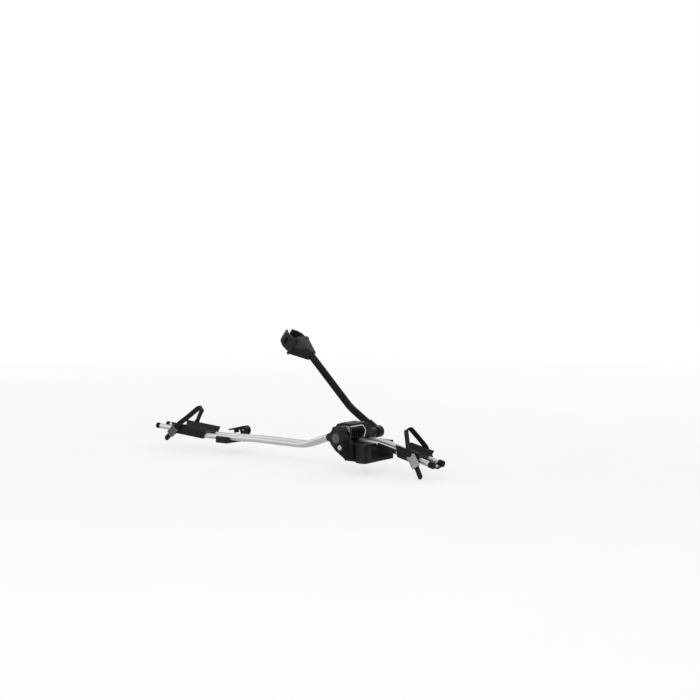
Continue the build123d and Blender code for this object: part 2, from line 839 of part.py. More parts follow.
def jaw_pad(side, finger):
    """A rubber lining on the inside of a jaw."""
    shift = (jaw_thickness + jaw_pad_thickness) / 2 + snug
    with BuildPart() as pad:
        with BuildSketch(claw_plane):
            with BuildLine():
                FilletPolyline(*jaw_route(side, shift), radius=jaw_bend - jaw_pad_thickness)
            trace(line_width=jaw_pad_thickness)
            with Locations((0, jaw_pad_bottom)):
                Rectangle(overrun * 2, overrun, align=(Align.CENTER, Align.MAX), mode=Mode.SUBTRACT)
        extrude(amount=jaw_tip_width / 2, both=True)
        add(finger, mode=Mode.SUBTRACT)
    return pad.part


near_jaw = jaw(-1)
far_jaw = jaw(1)
near_jaw_pad = jaw_pad(-1, near_jaw)
far_jaw_pad = jaw_pad(1, far_jaw)

# Wheel holders
tube_side = tube_offset + tube_radius + slip
holder_y = tube_side + holder_wall


def strap_frame(start, end, x, lean):
    """A leaning plane through the rail: local x is +Y and local y is the lean."""
    origin = rail_plane(start, end, x).origin
    return Plane(origin=origin, x_dir=(0, 1, 0), z_dir=(lean[2], 0, -lean[0]))


def wheel_holder(start, end, x, length, frame):
    """A tray that saddles the rail, hooks under both tubes and carries the strap."""
    plane = rail_plane(start, end, x)
    hook_z = -tube_radius - slip - holder_lip
    with BuildPart() as holder:
        with BuildSketch(plane.offset(-length / 2)):
            for side in (-1, 1):
                with BuildLine():
                    Polyline((side * (tube_offset - holder_lip), hook_z), (side * holder_y, hook_z),
                             (side * holder_y, holder_floor_edge),
                             (side * (holder_y + holder_flare), holder_wall_top),
                             (side * (holder_y + holder_flare - holder_wall), holder_wall_top),
                             (side * (tube_side - holder_floor), holder_floor_edge),
                             (side * (tube_offset - holder_lip), holder_floor_edge), close=True)
                make_face()
            with BuildLine():
                Polyline((-tube_offset, holder_floor_edge - holder_floor / 2), (0, holder_floor_dip),
                         (tube_offset, holder_floor_edge - holder_floor / 2))
            trace(line_width=holder_floor)
        extrude(amount=length)
        side_view = Plane(origin=plane.origin, x_dir=plane.z_dir, z_dir=(0, -1, 0))
        with BuildSketch(side_view) as profile:
            with BuildLine():
                Polyline((-length / 2, holder_wall_top), (length / 2, holder_wall_top),
                         (length / 2 - holder_end_slope, hook_z),
                         (holder_end_slope - length / 2, hook_z), close=True)
            make_face()
            fillet(profile.vertices(), holder_lip)
        extrude(amount=overrun * 2, both=True, mode=Mode.INTERSECT)
        with BuildSketch(frame):
            for side in (-1, 1):
                boss_outer = strap_y - strap_thickness / 2 - buckle_plate - 2 * buckle_gap
                boss_inner = holder_y - holder_wall / 2
                with Locations((side * (boss_outer + boss_inner) / 2, 0)):
                    Rectangle(boss_outer - boss_inner, holder_boss_height)
        extrude(amount=holder_boss_width / 2, both=True)
        with BuildSketch(plane.offset(-length)):
            add(rail_section(Plane.XY, slip))
        extrude(amount=length * 2, mode=Mode.SUBTRACT)
        add(anchor_shape(frame, snug), mode=Mode.SUBTRACT)
    return holder.part


def anchor_shape(frame, grow):
    """The screw that holds the strap's far end on the holder: its head is outside the strap."""
    outer = strap_y - buckle_plate + strap_thickness / 2 + buckle_gap
    face = Plane(origin=frame.origin + frame.x_dir * outer, x_dir=frame.z_dir, z_dir=frame.x_dir)
    with BuildPart() as screw:
        with BuildSketch(face):
            Circle(anchor_pin_radius + grow)
        extrude(amount=-anchor_pin_length - grow)
        with BuildSketch(face):
            Circle(anchor_head_radius)
        extrude(amount=anchor_head)
    return screw.part


def wheel_strap(frame, crown, tail):
    """A flat strap: from its far anchor over the rim and down through the buckle to its tail."""
    with BuildPart() as strap:
        with BuildSketch(frame):
            with BuildLine():
                FilletPolyline((strap_y - buckle_plate, strap_foot), (strap_y - buckle_plate, strap_hip),
                               (strap_knee_y, strap_knee), (strap_crown_y, crown),
                               (-strap_crown_y, crown), (-strap_knee_y, strap_knee),
                               (-strap_y, strap_hip), (-strap_y, buckle_bottom),
                               (-strap_tail_y, tail), radius=strap_bend)
            trace(line_width=strap_thickness)
        extrude(amount=strap_width / 2, both=True)
        add(anchor_shape(frame, snug), mode=Mode.SUBTRACT)
    return strap.part


def buckle(frame):
    """A channel behind and beside the strap, open to the front for the lever."""
    half = strap_width / 2 + slip
    back = strap_y - strap_thickness / 2 - buckle_gap
    with BuildPart() as body:
        with BuildSketch(frame) as profile:
            with Locations((-back + buckle_plate - buckle_depth / 2, (buckle_top + buckle_bottom) / 2)):
                Rectangle(buckle_depth, buckle_top - buckle_bottom)
            fillet(profile.vertices().group_by(Axis.X)[0], buckle_plate)
        extrude(amount=half + buckle_cheek, both=True)
        with BuildSketch(frame):
            with Locations((-back - overrun / 2, 0)):
                Rectangle(overrun, overrun * 2)
        extrude(amount=half, both=True, mode=Mode.SUBTRACT)
        with BuildSketch(frame):
            with Locations((-strap_y - lever_pin_out, lever_pin_up)):
                Circle(lever_pin_radius + snug)
        extrude(amount=overrun, both=True, mode=Mode.SUBTRACT)
    return body.part


def buckle_lever(frame):
    """The quick release lever, hung on its pin and kicked out at the thumb end."""
    pin = (-strap_y - lever_pin_out, lever_pin_up)
    with BuildPart() as lever:
        with BuildSketch(frame):
            with BuildLine():
                FilletPolyline(pin, (pin[0], pin[1] - lever_length * 3 / 4),
                               (pin[0] - lever_kick, pin[1] - lever_length), radius=lever_kick)
            trace(line_width=lever_thickness)
            with Locations(pin):
                Circle(lever_knuckle)
        extrude(amount=strap_width / 2, both=True)
        with BuildSketch(frame):
            with Locations(pin):
                Circle(lever_pin_radius + running)
        extrude(amount=overrun, both=True, mode=Mode.SUBTRACT)
    return lever.part


def buckle_pin(frame):
    """The lever's pin, through both cheeks."""
    with BuildPart() as pin:
        with BuildSketch(frame):
            with Locations((-strap_y - lever_pin_out, lever_pin_up)):
                Circle(lever_pin_radius)
        extrude(amount=strap_width / 2 + slip + buckle_cheek, both=True)
    return pin.part


front_frame = strap_frame(crest_front, front_end, front_strap_x, front_strap_lean)
rear_frame = strap_frame(rear_end, dip, rear_strap_x, rear_strap_lean)
front_wheel_holder = wheel_holder(crest_front, front_end, front_holder_x, front_holder_length, front_frame)
rear_wheel_holder = wheel_holder(rear_end, dip, rear_holder_x, rear_holder_length, rear_frame)
front_strap = wheel_strap(front_frame, front_strap_crown, front_strap_tail)
rear_strap = wheel_strap(rear_frame, rear_strap_crown, rear_strap_tail)

# Rear bracket: a saddle on the rear bar, with a cam lever on its far end
saddle_start_x = bar_rear_x - saddle_length / 2
with BuildPart() as rear_pad:
    with BuildSketch():
        with Locations((bar_rear_x, (saddle_near_y + saddle_far_y) / 2)):
            Rectangle(saddle_length, saddle_far_y - saddle_near_y)
        with Locations((bar_rear_x, lever_axis_y)):
            Circle(t_bolt_radius + slip, mode=Mode.SUBTRACT)
    extrude(amount=pad_thickness)

with BuildPart() as rear_bracket:
    with BuildSketch(across_plane(saddle_start_x)) as cross_section:
        with BuildLine():
            Polyline((saddle_near_y, pad_thickness), (saddle_near_y, saddle_cheek_top),
                     (tube_side + holder_wall * 2, saddle_cheek_top), (tube_side + holder_wall * 4, saddle_arm_z),
                     (saddle_far_y, saddle_arm_z), (saddle_far_y, pad_thickness), close=True)
        make_face()
        fillet(cross_section.vertices().group_by(Axis.Y)[-1], saddle_round)
    extrude(amount=saddle_length)
    add(rail_room.part, mode=Mode.SUBTRACT)
    with BuildSketch(across_plane(saddle_start_x)):
        with Locations((0, saddle_cheek_top)):
            Rectangle(2 * (tube_side + snug), tube_radius)
    extrude(amount=saddle_length, mode=Mode.SUBTRACT)
    with BuildSketch(Plane.XY.offset(pad_thickness)):
        with Locations((bar_rear_x, lever_axis_y)):
            Circle(t_bolt_radius + slip)
    extrude(amount=saddle_arm_z, mode=Mode.SUBTRACT)

washer_z = saddle_arm_z + washer_height
with BuildPart() as lever_washer:
    with BuildSketch(Plane.XY.offset(saddle_arm_z)):
        with Locations((bar_rear_x, lever_axis_y)):
            Circle(lever_head_width / 2)
            Circle(t_bolt_radius + slip, mode=Mode.SUBTRACT)
    extrude(amount=washer_height)

with BuildPart() as rear_t_bolt:
    with BuildSketch(Plane.XY.offset(-t_slot_depth - t_head_height)):
        with Locations((bar_rear_x, lever_axis_y)):
            Rectangle(t_head_width, t_head_length)
    extrude(amount=t_head_height)
    with BuildSketch(Plane.XY.offset(-t_slot_depth)):
        with Locations((bar_rear_x, lever_axis_y)):
            Circle(t_bolt_radius)
    extrude(amount=t_slot_depth + lever_axis_z)
    with BuildSketch(Plane.XZ.offset(-lever_axis_y)):
        with Locations((bar_rear_x, lever_axis_z)):
            Circle(clevis_pin_radius * 2)
    extrude(amount=t_bolt_radius, both=True)
    with BuildSketch(Plane.XZ.offset(-lever_axis_y)):
        with Locations((bar_rear_x, lever_axis_z)):
            Circle(clevis_pin_radius + snug)
    extrude(amount=t_bolt_radius * 2, both=True, mode=Mode.SUBTRACT)

with BuildPart() as clevis_pin:
    with BuildSketch(Plane.XZ.offset(-lever_axis_y)):
        with Locations((bar_rear_x, lever_axis_z)):
            Circle(clevis_pin_radius)
    extrude(amount=lever_head_width / 2 + slip, both=True)

lever_under = lever_axis_z - washer_z - slip
slot_room = t_bolt_radius + 2 * slip
with BuildPart() as clamp_lever:
    with BuildSketch(Plane.XZ.offset(-lever_axis_y)):
        with Locations((bar_rear_x, lever_axis_z + (lever_head_radius - lever_under) / 2)):
            Circle((lever_head_radius + lever_under) / 2)
        with BuildLine():
            Polyline((bar_rear_x, lever_axis_z + lever_head_radius),
                     (bar_rear_x - lever_reach, lever_axis_z + lever_head_radius - lever_droop),
                     (bar_rear_x - lever_reach, lever_axis_z + lever_head_radius - lever_droop - lever_blade),
                     (bar_rear_x - lever_head_radius, lever_axis_z), close=True)
        make_face()
        with Locations((bar_rear_x - lever_hook_x, lever_axis_z + lever_head_radius - lever_droop)):
            Rectangle(lever_blade, lever_hook, align=(Align.CENTER, Align.MAX))
    extrude(amount=lever_head_width / 2, both=True)
    with BuildSketch(Plane.XZ.offset(-lever_axis_y)):
        with Locations((bar_rear_x, lever_axis_z)):
            Circle(clevis_pin_radius * 2 + slip)
        with Locations((bar_rear_x - slot_room, lever_axis_z + slot_room)):
            Rectangle(overrun, overrun, align=(Align.MIN, Align.MAX))
    extrude(amount=lever_slot_width / 2, both=True, mode=Mode.SUBTRACT)
    with BuildSketch(Plane.XZ.offset(-lever_axis_y)):
        with Locations((bar_rear_x, lever_axis_z)):
            Circle(clevis_pin_radius + running)
    extrude(amount=overrun, both=True, mode=Mode.SUBTRACT)

pieces = {
    "rail": rail.part,
    "front_end_cap": front_end_cap,
    "rear_end_cap": rear_end_cap,
    "base_pad": base_pad.part,
    "base_plate": base_plate.part,
    "base_foot": base_foot.part,
    "base_t_bolts": base_t_bolts.part,
    "base_nuts": base_nuts,
    "bridge_housing": bridge_housing.part,
    "bridge_hoop": bridge_hoop,
    "knob_housing": knob_housing.part,
    "knob": knob.part,
    "knob_insert": knob_insert.part,
    "lock_barrel": lock_barrel.part,
    "lock_core": lock_core.part,
    "cross_shaft": cross_shaft.part,
    "shaft_bush": shaft_bush.part,
    "pivot_axle": pivot_axle.part,
    "axle_ring": axle_ring.part,
    "arm_tube": arm_tube.part,
    "arm_knuckle": arm_knuckle.part,
    "knuckle_cover": knuckle_cover.part,
    "drive_rod": drive_rod.part,
    "joint_spider": joint_spider.part,
    "spindle": spindle.part,
    "draw_nut": draw_nut.part,
    "claw_body": claw_body.part,
    "jaw_pins": jaw_pins.part,
    "cradle_pad": cradle_pad.part,
    "near_jaw": near_jaw,
    "far_jaw": far_jaw,
    "near_jaw_pad": near_jaw_pad,
    "far_jaw_pad": far_jaw_pad,
    "front_wheel_holder": front_wheel_holder,
    "rear_wheel_holder": rear_wheel_holder,
    "front_strap": front_strap,
    "rear_strap": rear_strap,
    "front_buckle": buckle(front_frame),
    "rear_buckle": buckle(rear_frame),
    "front_buckle_lever": buckle_lever(front_frame),
    "rear_buckle_lever": buckle_lever(rear_frame),
    "front_lever_pin": buckle_pin(front_frame),
    "rear_lever_pin": buckle_pin(rear_frame),
    "front_strap_anchor": anchor_shape(front_frame, 0),
    "rear_strap_anchor": anchor_shape(rear_frame, 0),
    "rear_pad": rear_pad.part,
    "rear_bracket": rear_bracket.part,
    "lever_washer": lever_washer.part,
    "rear_t_bolt": rear_t_bolt.part,
    "clevis_pin": clevis_pin.part,
    "clamp_lever": clamp_lever.part,
}
for name, piece in pieces.items():
    piece.label = name
    export_step(piece, f"parts/{name}.step")
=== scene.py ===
import math
import bpy
import bmesh
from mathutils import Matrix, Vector


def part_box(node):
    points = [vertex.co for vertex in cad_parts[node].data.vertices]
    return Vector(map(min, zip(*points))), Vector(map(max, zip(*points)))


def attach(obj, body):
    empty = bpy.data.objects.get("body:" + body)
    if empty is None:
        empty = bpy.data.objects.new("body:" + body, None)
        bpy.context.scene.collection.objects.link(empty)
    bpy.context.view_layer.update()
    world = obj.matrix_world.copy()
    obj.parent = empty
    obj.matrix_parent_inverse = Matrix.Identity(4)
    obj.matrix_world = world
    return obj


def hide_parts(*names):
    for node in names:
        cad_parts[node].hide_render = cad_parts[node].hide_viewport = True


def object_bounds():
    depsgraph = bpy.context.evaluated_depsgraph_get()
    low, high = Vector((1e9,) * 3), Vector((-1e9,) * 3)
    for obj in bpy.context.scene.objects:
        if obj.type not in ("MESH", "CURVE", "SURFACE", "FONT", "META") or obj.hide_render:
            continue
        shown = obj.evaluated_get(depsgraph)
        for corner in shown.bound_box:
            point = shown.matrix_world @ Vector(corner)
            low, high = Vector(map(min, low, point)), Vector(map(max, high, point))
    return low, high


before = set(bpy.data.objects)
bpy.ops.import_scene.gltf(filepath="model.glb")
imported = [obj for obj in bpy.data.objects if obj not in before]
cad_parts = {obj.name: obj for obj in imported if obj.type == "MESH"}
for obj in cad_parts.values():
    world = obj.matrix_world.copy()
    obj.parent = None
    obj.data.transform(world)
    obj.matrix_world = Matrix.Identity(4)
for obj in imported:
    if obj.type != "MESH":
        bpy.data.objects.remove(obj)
cad_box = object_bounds()
scene = bpy.context.scene
scene.view_settings.view_transform = "Standard"

# Camera, from the photograph's viewing angle
cam_data = bpy.data.cameras.new("camera")
cam = bpy.data.objects.new("camera", cam_data)
scene.collection.objects.link(cam)
cam.location = (3.4398, -4.3258, 0.8527)
cam.rotation_euler = (math.radians(85.45), 0, math.radians(39.38))
cam_data.lens = 76.19
cam_data.sensor_width = 36
cam_data.clip_end = 60
scene.camera = cam


# Materials
class Nodes:
    """A small helper that lays out one material's nodes."""

    def __init__(self, name):
        self.mat = bpy.data.materials.new(name)
        self.mat.use_nodes = True
        self.tree = self.mat.node_tree
        self.shader = self.tree.nodes["Principled BSDF"]
        self.coords = self.tree.nodes.new("ShaderNodeTexCoord")

    def node(self, kind, **values):
        made = self.tree.nodes.new(kind)
        for key, value in values.items():
            if key in made.inputs:
                made.inputs[key].default_value = value
            else:
                setattr(made, key, value)
        return made

    def link(self, out, into):
        self.tree.links.new(out, into)

    def placed(self, scale=(1, 1, 1), turn=(0, 0, 0)):
        mapping = self.node("ShaderNodeMapping")
        mapping.inputs["Scale"].default_value = scale
        mapping.inputs["Rotation"].default_value = turn
        self.link(self.coords.outputs["Object"], mapping.inputs["Vector"])
        return mapping.outputs["Vector"]

    def noise(self, scale, detail=3.0, stretch=(1, 1, 1), rough=0.5, turn=(0, 0, 0)):
        made = self.node("ShaderNodeTexNoise", Scale=scale, Detail=detail, Roughness=rough)
        self.link(self.placed(stretch, turn), made.inputs["Vector"])
        return made.outputs["Fac"]

    def ramp(self, source, stops):
        made = self.node("ShaderNodeValToRGB")
        made.color_ramp.elements[0].position = stops[0][0]
        made.color_ramp.elements[0].color = (*stops[0][1], 1)
        made.color_ramp.elements[1].position = stops[1][0]
        made.color_ramp.elements[1].color = (*stops[1][1], 1)
        for at, colour in stops[2:]:
            made.color_ramp.elements.new(at).color = (*colour, 1)
        self.link(source, made.inputs["Fac"])
        return made.outputs["Color"]

    def spread(self, source, low, high):
        made = self.node("ShaderNodeMapRange")
        made.inputs["To Min"].default_value = low
        made.inputs["To Max"].default_value = high
        self.link(source, made.inputs["Value"])
        return made.outputs["Result"]

    def bump(self, source, strength, distance, under=None):
        made = self.node("ShaderNodeBump", Strength=strength, Distance=distance)
        self.link(source, made.inputs["Height"])
        if under is not None:
            self.link(under, made.inputs["Normal"])
        return made.outputs["Normal"]

    def mix(self, share, low, high):
        made = self.node("ShaderNodeMix", data_type="RGBA")
        self.link(share, made.inputs["Factor"])
        for value, socket in ((low, made.inputs[6]), (high, made.inputs[7])):
            if isinstance(value, tuple):
                socket.default_value = (*value, 1)
            else:
                self.link(value, socket)
        return made.outputs[2]

    def waves(self, pitch, turn):
        """Even moulded ridges, a pitch apart, across one way."""
        made = self.node("ShaderNodeTexWave", Scale=math.pi / (10 * pitch), Distortion=0.0)
        made.bands_direction = "X"
        self.link(self.placed((1, 1, 1), turn), made.inputs["Vector"])
        return made.outputs["Fac"]

    def height_along(self, centre, way):
        """How far a point lies along a direction from a centre, in metres."""
        away = self.node("ShaderNodeVectorMath", operation="SUBTRACT")
        self.link(self.coords.outputs["Object"], away.inputs[0])
        away.inputs[1].default_value = centre
        along = self.node("ShaderNodeVectorMath", operation="DOT_PRODUCT")
        self.link(away.outputs["Vector"], along.inputs[0])
        along.inputs[1].default_value = way
        return along.outputs["Value"]

    def step(self, source, at, soft):
        made = self.node("ShaderNodeMapRange")
        made.inputs["From Min"].default_value = at - soft
        made.inputs["From Max"].default_value = at + soft
        self.link(source, made.inputs["Value"])
        return made.outputs["Result"]

    def groove(self, source, at, half):
        """One, falling to zero in a narrow line where the source passes a value."""
        shifted = self.node("ShaderNodeMath", operation="SUBTRACT")
        self.link(source, shifted.inputs[0])
        shifted.inputs[1].default_value = at
        size = self.node("ShaderNodeMath", operation="ABSOLUTE")
        self.link(shifted.outputs[0], size.inputs[0])
        return self.step(size.outputs[0], half, half)

    def edges(self, low=0.57, high=0.7):
        """Where the surface turns sharply outwards, for rubbed edges."""
        geometry = self.node("ShaderNodeNewGeometry")
        made = self.node("ShaderNodeMapRange")
        made.inputs["From Min"].default_value = low
        made.inputs["From Max"].default_value = high
        self.link(geometry.outputs["Pointiness"], made.inputs["Value"])
        return made.outputs["Result"]


# Colour of the edges that handling has rubbed
rubbed = (0.035, 0.035, 0.037)


def moulded(name, dark, light, rough=(0.42, 0.58), grain=900.0, rub=rubbed, sheen=0.22, ribs=None,
            painted_shade_zone=None):
    """Moulded plastic: spark-eroded grain, faint flow marks, dust and rubbed edges, and optionally painted
    shade below a line.
    """
    n = Nodes(name)
    flow = n.noise(9.0, 4.0, (1, 1, 1.6))
    speckle = n.noise(grain, 2.0)
    colour = n.ramp(flow, [(0.35, dark), (0.68, light)])
    last = n.bump(flow, 0.12, 0.0012)
    if ribs:
        last = n.bump(n.waves(*ribs), 0.5, 0.0005, last)
    if painted_shade_zone:
        # Painted shade: below a line across the part the colour turns darker, with a seam groove along the
        # line
        centre, way, at, shaded_colour = painted_shade_zone
        height = n.height_along(centre, way)
        colour = n.mix(n.step(height, at, 0.0006), shaded_colour, colour)
        last = n.bump(n.groove(height, at, 0.0011), 0.9, 0.0009, last)
    n.link(n.mix(n.edges(), colour, rub), n.shader.inputs["Base Color"])
    n.shader.inputs["Specular IOR Level"].default_value = sheen
    n.link(n.spread(n.noise(34.0, 5.0), *rough), n.shader.inputs["Roughness"])
    n.link(n.bump(speckle, 0.35, 0.00025, last), n.shader.inputs["Normal"])
    return n.mat


def brushed(name, dark, light, rough=(0.24, 0.38), along=(0.06, 1, 1), fine=420.0, turn=(0, 0, 0)):
    """Metal with draw lines along one way and a soft tarnish."""
    n = Nodes(name)
    lines = n.noise(fine, 4.0, along, 0.7, turn)
    cloud = n.noise(6.0, 4.0)
    base = n.ramp(lines, [(0.3, dark), (0.7, light)])
    tarnish = tuple(c * 0.72 for c in light)
    n.link(n.mix(n.spread(cloud, 0.0, 0.28), base, tarnish), n.shader.inputs["Base Color"])
    n.shader.inputs["Metallic"].default_value = 1.0
    n.link(n.spread(lines, *rough), n.shader.inputs["Roughness"])
    n.link(n.bump(lines, 0.12, 0.0003, n.bump(cloud, 0.04, 0.001)), n.shader.inputs["Normal"])
    return n.mat


def rubbery(name, dark, light, rough=(0.6, 0.8)):
    """Rubber: matt, slightly dusty, with fine pores."""
    n = Nodes(name)
    dust = n.noise(22.0, 5.0)
    pores = n.noise(1400.0, 2.0)
    n.link(n.ramp(dust, [(0.4, dark), (0.75, light)]), n.shader.inputs["Base Color"])
    n.link(n.spread(dust, *rough), n.shader.inputs["Roughness"])
    n.shader.inputs["Specular IOR Level"].default_value = 0.1
    n.link(n.bump(pores, 0.3, 0.0002), n.shader.inputs["Normal"])
    return n.mat


def powder(name, dark, light, rough=(0.3, 0.42)):
    """Powder coat: fine orange peel with little sheen and rubbed edges."""
    n = Nodes(name)
    peel = n.noise(520.0, 2.0)
    cloud = n.noise(14.0, 4.0)
    colour = n.ramp(cloud, [(0.35, dark), (0.7, light)])
    n.link(n.mix(n.edges(), colour, rubbed), n.shader.inputs["Base Color"])
    n.shader.inputs["Specular IOR Level"].default_value = 0.1
    n.link(n.spread(cloud, *rough), n.shader.inputs["Roughness"])
    n.link(n.bump(peel, 0.22, 0.00025), n.shader.inputs["Normal"])
    return n.mat


# Way along the bicycle's frame tube, and the line on the claw below which painted shade darkens its lower
# band
slope = (0.62, 0, 0.785)
shade_line_rise = (0.185, 0, 0.983)
shade_line_middle = (-0.314, 0, 0.3943)
shade_line_height = 0.0
# Painted shade: the darker colour of the claw's lower band, below the line
painted_shade_black = (0.005, 0.005, 0.0055)

black = moulded("black_moulding", (0.004, 0.0042, 0.0046), (0.009, 0.0092, 0.0098), sheen=0.07)
black_gloss = moulded("black_satin_moulding", (0.004, 0.0042, 0.0046), (0.008, 0.0082, 0.0088),
                      (0.3, 0.44), 700.0, sheen=0.09)
tray_black = moulded("tray_moulding", (0.006, 0.0062, 0.0068), (0.013, 0.0132, 0.014), sheen=0.12,
                     ribs=(0.008, (0, 0, 0)))
claw_black = moulded("claw_moulding", (0.022, 0.0222, 0.0232), (0.034, 0.0343, 0.0357), (0.34, 0.48), 700.0,
                     painted_shade_zone=(shade_line_middle, shade_line_rise, shade_line_height, painted_shade_black))
knob_black = moulded("knob_moulding", (0.010, 0.0102, 0.011), (0.018, 0.0183, 0.0195), (0.48, 0.62), 800.0,
                     sheen=0.14)
grey = moulded("grey_moulding", (0.07, 0.072, 0.075), (0.11, 0.112, 0.117), (0.4, 0.52), 800.0,
               (0.16, 0.16, 0.165))
buckle_grey = moulded("buckle_moulding", (0.24, 0.245, 0.255), (0.31, 0.315, 0.325), (0.36, 0.5), 800.0,
                      (0.42, 0.42, 0.42), 0.4)
dark_buckle = moulded("rear_buckle_moulding", (0.045, 0.046, 0.049), (0.07, 0.0715, 0.075), (0.36, 0.5),
                      800.0, (0.12, 0.12, 0.122))
lever_grey = moulded("lever_moulding", (0.2, 0.205, 0.215), (0.27, 0.275, 0.285), (0.36, 0.5), 800.0,
                     (0.4, 0.4, 0.4), 0.4, ribs=(0.005, (0, math.radians(50), 0)))
tube_coat = powder("arm_coat", (0.0035, 0.0037, 0.0042), (0.008, 0.0082, 0.009))
black_steel = powder("black_zinc", (0.007, 0.007, 0.0078), (0.015, 0.015, 0.016), (0.4, 0.55))
anodised = brushed("anodised_rail", (0.42, 0.425, 0.435), (0.56, 0.565, 0.575), (0.34, 0.48))
hoop_metal = brushed("hoop_metal", (0.4, 0.41, 0.42), (0.56, 0.57, 0.58), (0.28, 0.4), (1, 0.08, 1))
zinc = brushed("zinc_plate", (0.42, 0.43, 0.44), (0.62, 0.62, 0.61), (0.28, 0.45), (1, 1, 0.1))
bright = brushed("lock_metal", (0.46, 0.46, 0.46), (0.62, 0.62, 0.61), (0.14, 0.26), (1, 1, 1), 300.0)
brass = brushed("brass_metal", (0.5, 0.36, 0.15), (0.68, 0.52, 0.24), (0.26, 0.4))
rubber = rubbery("rubber_pad", (0.008, 0.008, 0.0085), (0.018, 0.018, 0.019))
strap_rubber = rubbery("strap_rubber", (0.007, 0.007, 0.0075), (0.016, 0.016, 0.017), (0.46, 0.62))

finishes = {}
for finish, nodes in (
        (anodised, "rail"),
        (black, "front_end_cap rear_end_cap base_foot knob_housing rear_bracket knuckle_cover near_jaw "
                "far_jaw clamp_lever"),
        (rubber, "base_pad rear_pad cradle_pad near_jaw_pad far_jaw_pad"),
        (black_steel, "base_plate jaw_pins"),
        (zinc, "base_t_bolts base_nuts pivot_axle axle_ring lever_washer rear_t_bolt clevis_pin cross_shaft "
               "joint_spider drive_rod spindle front_lever_pin front_strap_anchor rear_lever_pin "
               "rear_strap_anchor"),
        (black_gloss, "bridge_housing"),
        (hoop_metal, "bridge_hoop"),
        (brass, "shaft_bush draw_nut"),
        (knob_black, "knob"),
        (grey, "knob_insert"),
        (bright, "lock_barrel lock_core"),
        (tube_coat, "arm_knuckle arm_tube"),
        (claw_black, "claw_body"),
        (tray_black, "front_wheel_holder rear_wheel_holder"),
        (buckle_grey, "front_buckle"),
        (lever_grey, "front_buckle_lever"),
        (dark_buckle, "rear_buckle rear_buckle_lever"),
        (strap_rubber, "front_strap rear_strap")):
    for node in nodes.split():
        finishes[node] = finish
for name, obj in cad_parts.items():
    obj.data.materials.clear()
    obj.data.materials.append(finishes[name])


# Building pieces
def linked(name, mesh):
    """A new object in the scene that shows a mesh."""
    obj = bpy.data.objects.new(name, mesh)
    scene.collection.objects.link(obj)
    return obj


def outward_mesh(name, verts, faces):
    """A mesh from corners and faces, with all its faces looking outwards."""
    mesh = bpy.data.meshes.new(name)
    mesh.from_pydata([tuple(v) for v in verts], [], faces)
    mesh.update()
    work = bmesh.new()
    work.from_mesh(mesh)
    bmesh.ops.recalc_face_normals(work, faces=work.faces)
    work.to_mesh(mesh)
    work.free()
    return mesh


def coat(mesh, material, sharp=None):
    """One material on a mesh, smooth but for edges sharper than an angle in degrees."""
    mesh.materials.clear()
    mesh.materials.append(material)
    for face in mesh.polygons:
        face.use_smooth = True
    if sharp:
        mesh.set_sharp_from_angle(angle=math.radians(sharp))


def piece(name, verts, faces, material, body, smooth=True):
    """A piece from its own corners and faces, riding on a body."""
    mesh = outward_mesh(name, verts, faces)
    obj = linked(name, mesh)
    if smooth:
        coat(mesh, material)
    else:
        mesh.materials.append(material)
    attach(obj, body)
    return obj


def loft(first, rings, around, closed=True):
    """Faces that join rings of corners, one after another, from a first corner on."""
    last = first + (rings - 1) * around
    faces = []
    for low in range(first, last, around):
        for i in range(around):
            after = (i + 1) % around
            faces.append((low + i, low + after, low + around + after, low + around + i))
    if closed:
        faces.append(tuple(range(first, first + around)))
        faces.append(tuple(range(last, last + around)))
    return faces


def rounded_path(points, radius, step):
    """Points along straight runs and tangent arcs, evenly spaced, with no two alike."""
    out = [points[0]]
    for before, here, after in zip(points, points[1:], points[2:]):
        a = (before - here).normalized()
        b = (after - here).normalized()
        half = math.acos(max(-1, min(1, a.dot(b)))) / 2
        if abs(half - math.pi / 2) < 0.01:
            out.append(here)
            continue
        cut = radius / math.tan(half)
        centre = here + (a + b).normalized() * (radius / math.sin(half))
        start = here + a * cut - centre
        end = here + b * cut - centre
        turn = start.angle(end)
        count = max(3, int(turn * radius / step))
        for i in range(count + 1):
            share = i / count
            low = math.sin((1 - share) * turn) / math.sin(turn)
            high = math.sin(share * turn) / math.sin(turn)
            out.append(centre + start * low + end * high)
    out.append(points[-1])
    even = [out[0]]
    for p, q in zip(out, out[1:]):
        count = max(1, int((q - p).length / step))
        for i in range(1, count + 1):
            even.append(p.lerp(q, i / count))
    return even


def heading(route, i):
    """The way along a path at one of its points."""
    return (route[min(i + 1, len(route) - 1)] - route[max(i - 1, 0)]).normalized()


def middle(node):
    """The middle of a node's box."""
    low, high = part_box(node)
    return (Vector(low) + Vector(high)) / 2


def node_copy(name, node, weld=0.0, flatten=0.0):
    """A new object with a node's mesh, its doubled corners welded and its flat areas merged."""
    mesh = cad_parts[node].data.copy()
    mesh.name = name
    if weld:
        work = bmesh.new()
        work.from_mesh(mesh)
        bmesh.ops.remove_doubles(work, verts=work.verts, dist=weld)
        if flatten:
            bmesh.ops.dissolve_limit(work, angle_limit=flatten, verts=work.verts, edges=work.edges)
        work.to_mesh(mesh)
        work.free()
    return linked(name, mesh)


def baked(obj):
    """Apply an object's modifiers and return its own new mesh."""
    bpy.context.view_layer.update()
    made = bpy.data.meshes.new_from_object(obj.evaluated_get(bpy.context.evaluated_depsgraph_get()))
    made.name = obj.name
    obj.modifiers.clear()
    obj.data = made
    return made


def rolled(obj, width):
    """Round an object's edges over and return its new mesh."""
    bevel = obj.modifiers.new("rolled_edge", "BEVEL")
    bevel.width = width
    bevel.segments = 3
    bevel.limit_method = "ANGLE"
    bevel.angle_limit = math.radians(50)
    return baked(obj)


